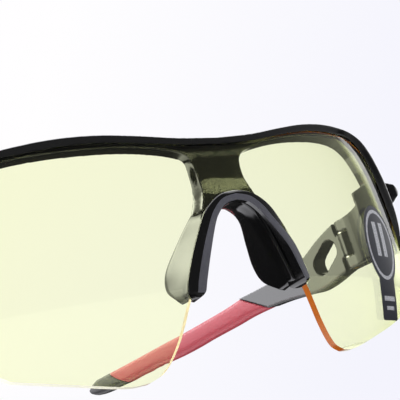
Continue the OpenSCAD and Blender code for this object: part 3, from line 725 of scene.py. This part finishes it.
# Camera: it stands at the height of the table, to the left of the middle, and is rolled by hand.
# Its place was solved from the photograph.
CAMERA_PLACE = Vector((-120.003, -287.518, -0.451)) * MM
CAMERA_FORWARD = Vector((0.477747, 0.864171, 0.158007)).normalized()
CAMERA_UP = Vector((0.077594, -0.220666, 0.972258))
FOCAL_PIXELS, FRAME_PIXELS, SENSOR_WIDTH = 1102.09, 400, 36
camera = bpy.data.objects.new("camera", bpy.data.cameras.new("camera"))
bpy.context.scene.collection.objects.link(camera)
side_way = CAMERA_FORWARD.cross(CAMERA_UP).normalized()
up_way = side_way.cross(CAMERA_FORWARD)
camera.matrix_world = Matrix.Translation(CAMERA_PLACE) @ Matrix(
    (side_way, up_way, -CAMERA_FORWARD)).transposed().to_4x4()
camera.data.sensor_width = SENSOR_WIDTH
camera.data.lens = SENSOR_WIDTH * FOCAL_PIXELS / FRAME_PIXELS
camera.data.clip_start, camera.data.clip_end = 0.01, 20
bpy.context.scene.camera = camera

# Table: a plain pale sheet. The camera looks from just under its plane, so its underside is clear,
# and the room round it stands in for it in what the gloss mirrors.
HALF_TABLE = 2
corners = [(x * HALF_TABLE, y * HALF_TABLE, 0) for x, y in ((-1, -1), (1, -1), (1, 1), (-1, 1))]
floor = mesh_piece("table_top", corners, [(0, 1, 2, 3)])
floor.visible_glossy = False
pale, tree, out = material("pale_table")
# Matt laminate, pale and even. Seen from below it is clear
paper = add(tree, "ShaderNodeBsdfPrincipled", {"Base Color": linear("#e9e9ec"), "Roughness": 0.6})
gone = add(tree, "ShaderNodeBsdfTransparent")
under = add(tree, "ShaderNodeNewGeometry")
one_way = add(tree, "ShaderNodeMixShader", None, _0=under.outputs["Backfacing"], _1=paper.outputs["BSDF"],
              _2=gone.outputs["BSDF"])
tree.links.new(one_way.outputs["Shader"], out.inputs["Surface"])
floor.data.materials.append(pale)

# Studio: a white backdrop for what is seen and seen through the lens. What the gloss mirrors is
# bright behind the glasses, dim before them and dark low down.
world = bpy.data.worlds.new("studio")
bpy.context.scene.world = world
world.use_nodes = True
tree = world.node_tree
tree.nodes.clear()
out = add(tree, "ShaderNodeOutputWorld")
way = add(tree, "ShaderNodeTexCoord").outputs["Generated"]
parts = add(tree, "ShaderNodeSeparateXYZ", None, Vector=way)
# The mirrored room's zones by direction: behind, before, above the table's level and far right
back = add(tree, "ShaderNodeMapRange", {"From Min": 0.26, "From Max": 0.31}, Value=parts.outputs["Y"])
fore = add(tree, "ShaderNodeMapRange", {"From Min": 0.1, "From Max": -0.1}, Value=parts.outputs["Y"])
above = add(tree, "ShaderNodeMapRange", {"From Min": -0.03, "From Max": 0.04}, Value=parts.outputs["Z"])
far_right = add(tree, "ShaderNodeMapRange", {"From Min": 0.6, "From Max": 0.9}, Value=parts.outputs["X"])
room_front = add(tree, "ShaderNodeMix",
                 {"data_type": "RGBA", "A": (0.15, 0.15, 0.15, 1), "B": (0.35, 0.35, 0.35, 1)},
                 Factor=far_right.outputs["Result"])
room_high = add(tree, "ShaderNodeMix", {"data_type": "RGBA", "B": (1.5, 1.5, 1.52, 1)},
                Factor=back.outputs["Result"], A=room_front.outputs["Result"])
room_low = add(tree, "ShaderNodeMix",
               {"data_type": "RGBA", "A": (0.05, 0.05, 0.05, 1), "B": (0.3, 0.3, 0.3, 1)},
               Factor=fore.outputs["Result"])
# High over the front the ceiling is bright, which only the top of the brow mirrors
ceiling = add(tree, "ShaderNodeMapRange", {"From Min": 0.82, "From Max": 0.87}, Value=parts.outputs["Z"])
room_top = add(tree, "ShaderNodeMix", {"data_type": "RGBA", "B": (3.5, 3.5, 3.7, 1)},
               Factor=ceiling.outputs["Result"], A=room_high.outputs["Result"])
# Below on the left, the gloss mirrors the lit table
under = add(tree, "ShaderNodeMapRange", {"From Min": -0.42, "From Max": -0.5}, Value=parts.outputs["Z"])
under_left = add(tree, "ShaderNodeMapRange", {"From Min": 0.14, "From Max": 0.06}, Value=parts.outputs["X"])
under_left_back = add(tree, "ShaderNodeMath", {"operation": "MULTIPLY"}, _0=back.outputs["Result"],
                      _1=under_left.outputs["Result"])
table_share = add(tree, "ShaderNodeMath", {"operation": "MULTIPLY"}, _0=under.outputs["Result"],
                  _1=under_left_back.outputs["Value"])
table = add(tree, "ShaderNodeMix", {"data_type": "RGBA", "B": (2.2, 2.2, 2.3, 1)},
            Factor=table_share.outputs["Value"], A=room_low.outputs["Result"])
room = add(tree, "ShaderNodeMix", {"data_type": "RGBA"}, Factor=above.outputs["Result"],
           A=table.outputs["Result"], B=room_top.outputs["Result"])
# Two windows behind on the left: the temples mirror the low one and the nose wing the high one. Each
# has its way, the cosines at its rim and at its full light, and its light
WINDOWS = (((-0.823, 0.555, 0.12), 0.9, 0.96, 5.0), ((-0.407, 0.733, 0.545), 0.97, 0.994, 10))
room_lit = room
for toward, least, most, light in WINDOWS:
    window_way = add(tree, "ShaderNodeVectorMath", {"operation": "DOT_PRODUCT"}, _0=way)
    window_way.inputs[1].default_value = toward
    window = add(tree, "ShaderNodeMapRange", {"From Min": least, "From Max": most},
                 Value=window_way.outputs["Value"])
    room_lit = add(tree, "ShaderNodeMix", {"data_type": "RGBA", "B": (light, light, 1.04 * light, 1)},
                   Factor=window.outputs["Result"], A=room_lit.outputs["Result"])
# The backdrop falls off from white to a faint blue toward the lower right
across = add(tree, "ShaderNodeVectorMath", {"operation": "DOT_PRODUCT"}, _0=way)
across.inputs[1].default_value = (0.85, -0.35, -0.4)
fade = add(tree, "ShaderNodeMapRange", {"From Min": -0.12, "From Max": 0.22}, Value=across.outputs["Value"])
backdrop = add(tree, "ShaderNodeMix", {"data_type": "RGBA", "A": linear("#fffeff"), "B": linear("#f4f4fd")},
               Factor=fade.outputs["Result"])
path = add(tree, "ShaderNodeLightPath")
looked = add(tree, "ShaderNodeMath", {"operation": "MAXIMUM"}, _0=path.outputs["Is Camera Ray"],
             _1=path.outputs["Is Transmission Ray"])
seen = add(tree, "ShaderNodeMath", {"operation": "MAXIMUM"}, _0=looked.outputs["Value"],
           _1=path.outputs["Is Glossy Ray"])
clear_view = add(tree, "ShaderNodeMix", {"data_type": "RGBA", "A": (0.55, 0.55, 0.56, 1)},
                 Factor=seen.outputs["Value"], B=backdrop.outputs["Result"])
# A ray that was mirrored anywhere on its way sees the room, also through the lens
mirrored = add(tree, "ShaderNodeMath", {"operation": "GREATER_THAN"}, _0=path.outputs["Glossy Depth"])
mirrored.inputs[1].default_value = 0.5
shown = add(tree, "ShaderNodeMix", {"data_type": "RGBA"}, Factor=mirrored.outputs["Value"],
            A=clear_view.outputs["Result"], B=room_lit.outputs["Result"])
sky = add(tree, "ShaderNodeBackground", None, Color=shown.outputs["Result"])
tree.links.new(sky.outputs["Background"], out.inputs["Surface"])


def softbox(name, azimuth, height, distance, width, tall, radiance):
    """A studio lamp in a direction in degrees, with its distance and size in metres."""
    lamp = bpy.data.lights.new(name, "AREA")
    lamp.shape = "RECTANGLE"
    lamp.size, lamp.size_y = width, tall
    lamp.energy = radiance * math.pi * width * tall
    box = bpy.data.objects.new(name, lamp)
    bpy.context.scene.collection.objects.link(box)
    a, h = math.radians(azimuth), math.radians(height)
    toward = Vector((math.sin(a) * math.cos(h), math.cos(a) * math.cos(h), math.sin(h)))
    box.location = toward * distance
    box.rotation_euler = toward.to_track_quat("Z", "Y").to_euler()
    box.visible_camera = box.visible_transmission = False
    return box


softbox("softbox_behind_left", -40, 30, 0.8, 0.9, 0.65, 1.6).visible_glossy = False
softbox("softbox_over_right", 85, 64, 0.8, 0.4, 0.2, 8.0)
softbox("softbox_over_front", 130, 52, 0.8, 0.36, 0.2, 3.2).visible_transmission = True

bpy.context.scene.view_settings.view_transform = "Standard"
